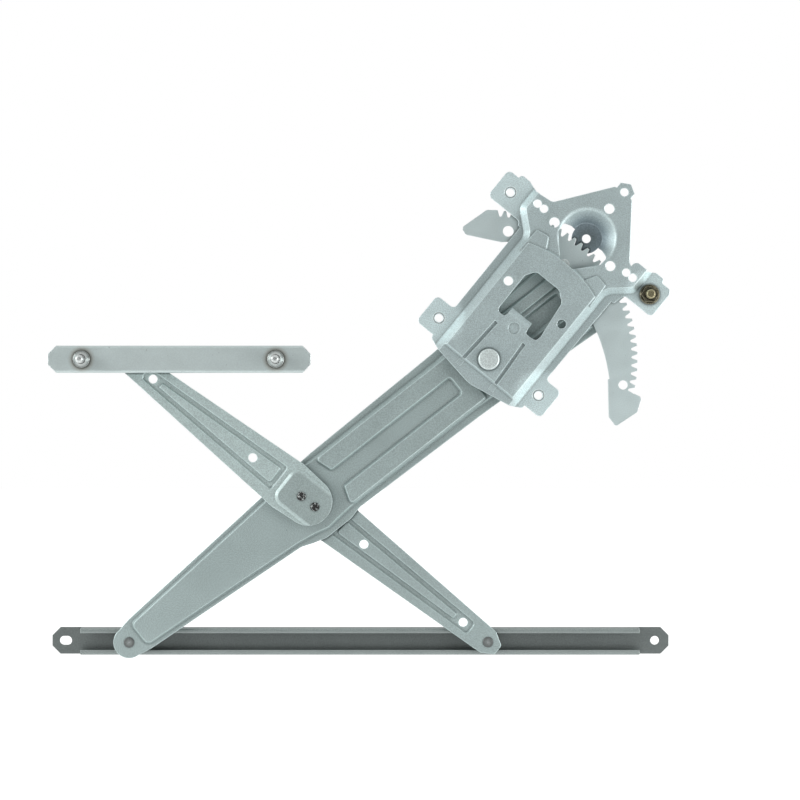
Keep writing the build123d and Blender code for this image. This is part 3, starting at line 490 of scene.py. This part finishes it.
MOUNT_HEAD = 0.0085
MOUNT_HEAD_HEIGHT = 0.0016
MOUNT_SHANK = 0.0042
MOUNT_THREAD = 0.0040
MOUNT_TIP = 0.001
MOUNT_PITCH = 0.00125
MOUNT_THREAD_DEPTH = 0.0006
MOUNT_RUN_OUT = 0.0012
NUT_FACE = -0.0065
mount_tip_y, mount_head_y = (corner[1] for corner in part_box("mount_stud"))
mount_profile = [
    (mount_head_y, 0),
    (mount_head_y, MOUNT_HEAD - EDGE_BREAK),
    (mount_head_y - EDGE_BREAK, MOUNT_HEAD),
    (mount_head_y - MOUNT_HEAD_HEIGHT, MOUNT_HEAD),
    (mount_head_y - MOUNT_HEAD_HEIGHT, MOUNT_SHANK),
    (NUT_FACE, MOUNT_SHANK),
    (NUT_FACE, MOUNT_THREAD),
    (mount_tip_y + MOUNT_TIP, MOUNT_THREAD),
    (mount_tip_y, MOUNT_THREAD - MOUNT_TIP),
    (mount_tip_y, 0),
]
mount_threaded = threaded_stud(
    "mount_stud_threaded",
    "mount_stud",
    axis_of_mount("mount_stud"),
    mount_profile,
    (mount_tip_y + EDGE_BREAK, NUT_FACE + MOUNT_RUN_OUT),
    MOUNT_PITCH,
    MOUNT_THREAD_DEPTH,
)
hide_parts("mount_stud")


# Room, light and camera

def plane_of(name, corners, finish):
    """A flat stage sheet through its four corners."""
    mesh = bpy.data.meshes.new(name)
    mesh.from_pydata(corners, [], [(0, 1, 2, 3)])
    mesh.materials.append(finish)
    piece = bpy.data.objects.new(name, mesh)
    bpy.context.scene.collection.objects.link(piece)
    return piece


def seen_by_eye(nodes, links):
    """One where the camera, gloss or glass sees the surface, and nought for the light that it sends on."""
    path = nodes.new("ShaderNodeLightPath").outputs
    seen = path["Is Camera Ray"]
    for ray in ("Is Glossy Ray", "Is Transmission Ray"):
        more = nodes.new("ShaderNodeMath")
        more.operation = "MAXIMUM"
        links.new(seen, more.inputs[0])
        links.new(path[ray], more.inputs[1])
        seen = more.outputs[0]
    return seen


def white_ground():
    """Pale floor that keeps its shadows, and is plain white where the camera and gloss see it lit."""
    finish = bpy.data.materials.new("pale_floor")
    finish.use_nodes = True
    nodes = finish.node_tree.nodes
    links = finish.node_tree.links
    nodes.clear()
    out = nodes.new("ShaderNodeOutputMaterial")
    matt = nodes.new("ShaderNodeBsdfDiffuse")
    matt.inputs["Color"].default_value = (0.86, 0.86, 0.86, 1)
    glow = nodes.new("ShaderNodeEmission")
    glow.inputs["Strength"].default_value = 0.8
    both = nodes.new("ShaderNodeAddShader")
    mix = nodes.new("ShaderNodeMixShader")
    links.new(matt.outputs[0], both.inputs[0])
    links.new(glow.outputs[0], both.inputs[1])
    links.new(seen_by_eye(nodes, links), mix.inputs["Fac"])
    links.new(matt.outputs[0], mix.inputs[1])
    links.new(both.outputs[0], mix.inputs[2])
    links.new(mix.outputs[0], out.inputs["Surface"])
    return finish


FLOOR_DROP = 0.16
FLOOR_HALF = 8
floor_z = cad_box[0][2] - FLOOR_DROP
plane_of("floor", [
    (-FLOOR_HALF, -FLOOR_HALF, floor_z),
    (FLOOR_HALF, -FLOOR_HALF, floor_z),
    (FLOOR_HALF, FLOOR_HALF, floor_z),
    (-FLOOR_HALF, FLOOR_HALF, floor_z),
], white_ground())


def white_studio(soft_level):
    """A world that lights softly at soft_level and is white where the camera and gloss see it."""
    world = bpy.data.worlds.new("studio")
    world.use_nodes = True
    nodes = world.node_tree.nodes
    links = world.node_tree.links
    nodes.clear()
    out = nodes.new("ShaderNodeOutputWorld")
    soft = nodes.new("ShaderNodeBackground")
    soft.inputs["Strength"].default_value = soft_level
    white = nodes.new("ShaderNodeBackground")
    soft.inputs["Color"].default_value = (1, 1, 1, 1)
    white.inputs["Color"].default_value = (1, 1, 1, 1)
    white.inputs["Strength"].default_value = 1.0
    mix = nodes.new("ShaderNodeMixShader")
    links.new(seen_by_eye(nodes, links), mix.inputs["Fac"])
    links.new(soft.outputs[0], mix.inputs[1])
    links.new(white.outputs[0], mix.inputs[2])
    links.new(mix.outputs[0], out.inputs["Surface"])
    return world


bpy.context.scene.world = white_studio(0.50)


SOFTBOX_SIDE = 0.8


def softbox(name, place, aim, power):
    """Square area lamp at place, facing aim."""
    lamp = bpy.data.lights.new(name, "AREA")
    lamp.shape = "SQUARE"
    lamp.size = SOFTBOX_SIDE
    lamp.energy = power
    holder = bpy.data.objects.new(name, lamp)
    holder.location = place
    holder.rotation_euler = (Vector(aim) - Vector(place)).to_track_quat("-Z", "Y").to_euler()
    bpy.context.scene.collection.objects.link(holder)


middle = (VIEW_CENTRE_X, 0.0, VIEW_CENTRE_Z)
softbox("left_box", (-1.40, -0.55, 0.30), middle, 11.5)
softbox("right_box", (1.35, -0.60, -0.15), middle, 13.5)


def grey_card():
    """Dull grey card behind the camera: flat sheets that face the camera mirror it."""
    finish = bpy.data.materials.new("grey_card")
    finish.use_nodes = True
    shader = finish.node_tree.nodes["Principled BSDF"]
    shader.inputs["Base Color"].default_value = (0.10, 0.10, 0.10, 1)
    shader.inputs["Roughness"].default_value = 0.9
    return finish


CARD_HALF = 1.3
CARD_TOP = 0.9
card_y = -CAMERA_DISTANCE - 0.3
card_left = VIEW_CENTRE_X - CARD_HALF
card_right = VIEW_CENTRE_X + CARD_HALF
card = plane_of("card", [
    (card_left, card_y, floor_z),
    (card_left, card_y, CARD_TOP),
    (card_right, card_y, CARD_TOP),
    (card_right, card_y, floor_z),
], grey_card())
card.visible_camera = False

SENSOR_MM = 36
lens = bpy.data.cameras.new("photo_view")
lens.sensor_width = SENSOR_MM
lens.lens = SENSOR_MM * CAMERA_DISTANCE / (PHOTO_SIDE * METRES_PER_PIXEL)
camera = bpy.data.objects.new("photo_view", lens)
camera.location = (VIEW_CENTRE_X, -CAMERA_DISTANCE, VIEW_CENTRE_Z)
camera.rotation_euler = (math.pi / 2, 0, 0)
bpy.context.scene.collection.objects.link(camera)
bpy.context.scene.camera = camera
bpy.context.scene.view_settings.view_transform = "Standard"
